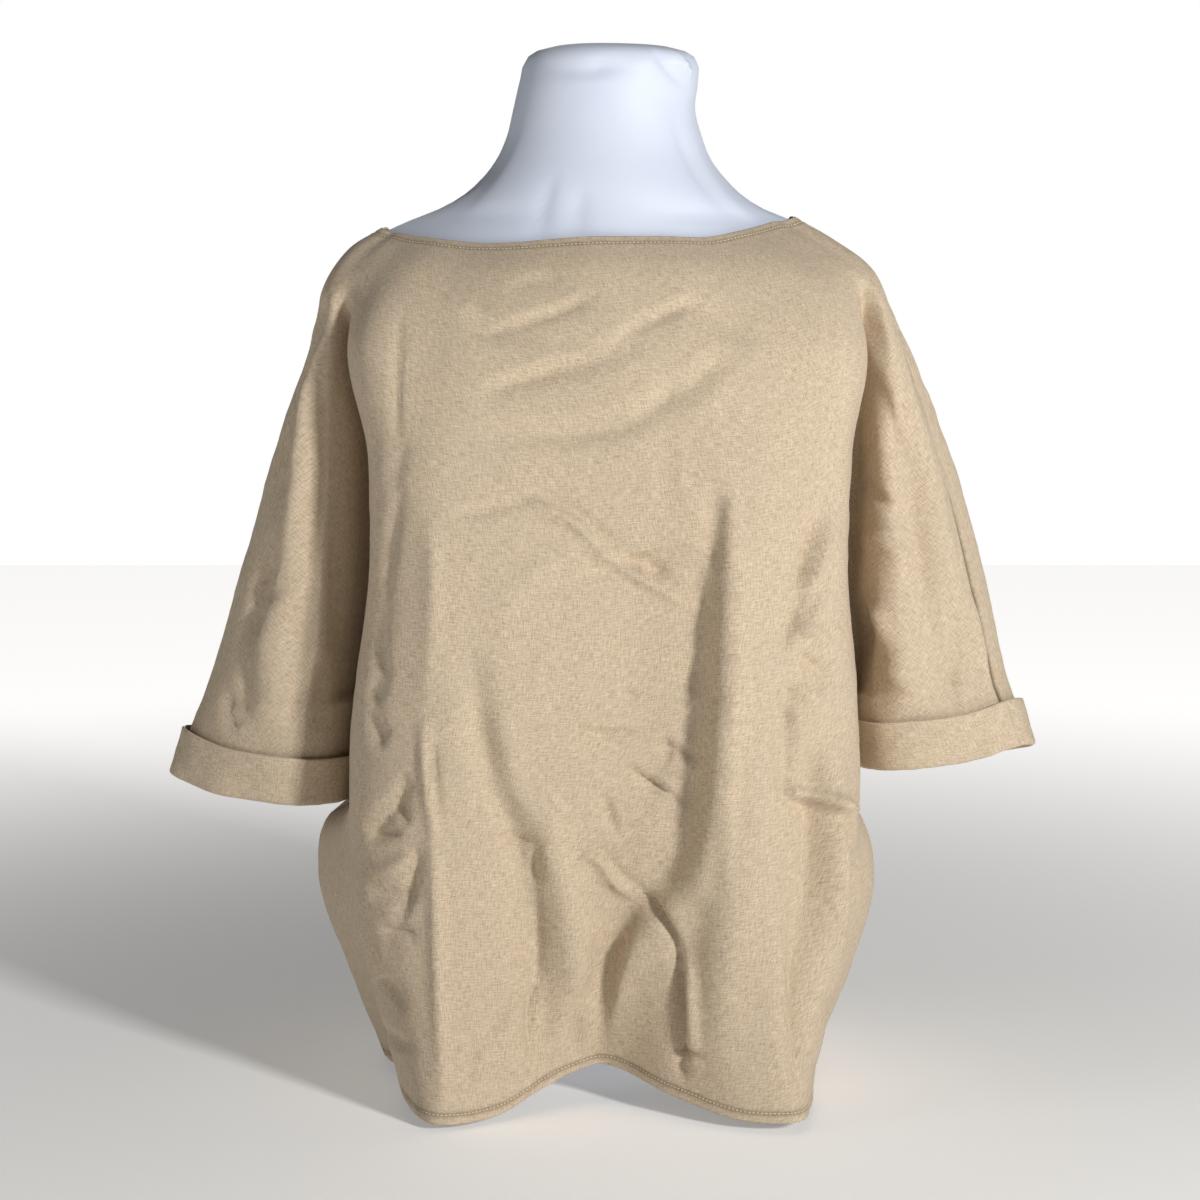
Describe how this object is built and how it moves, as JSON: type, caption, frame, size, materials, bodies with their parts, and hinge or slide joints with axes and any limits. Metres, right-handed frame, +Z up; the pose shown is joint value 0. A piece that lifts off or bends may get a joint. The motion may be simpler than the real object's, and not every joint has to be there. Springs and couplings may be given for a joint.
{
  "type": "short-sleeve blouse on a dress form",
  "caption": "Boxy boat-neck blouse with cut-on short sleeves and turned-up cuffs, worn by a limbless dress form on a flat foot.",
  "frame": {"origin": "middle of the dress form's flat foot, on the surface it stands on", "axes": "+Z up along the form, -Y the blouse's front, +X towards the wearer's left"},
  "size_m": [0.6396, 0.3354, 0.7475],
  "materials": {
    "linen_cloth": "plain-woven linen and cotton, tan, matt",
    "form_cover": "smooth stretch jersey, bluish white, matt"
  },
  "bodies": {
    "root": {"front_panel": "linen_cloth", "back_panel": "linen_cloth", "cuff_right": "linen_cloth", "cuff_left": "linen_cloth", "dress_form": "form_cover"}
  },
  "joints": []
}
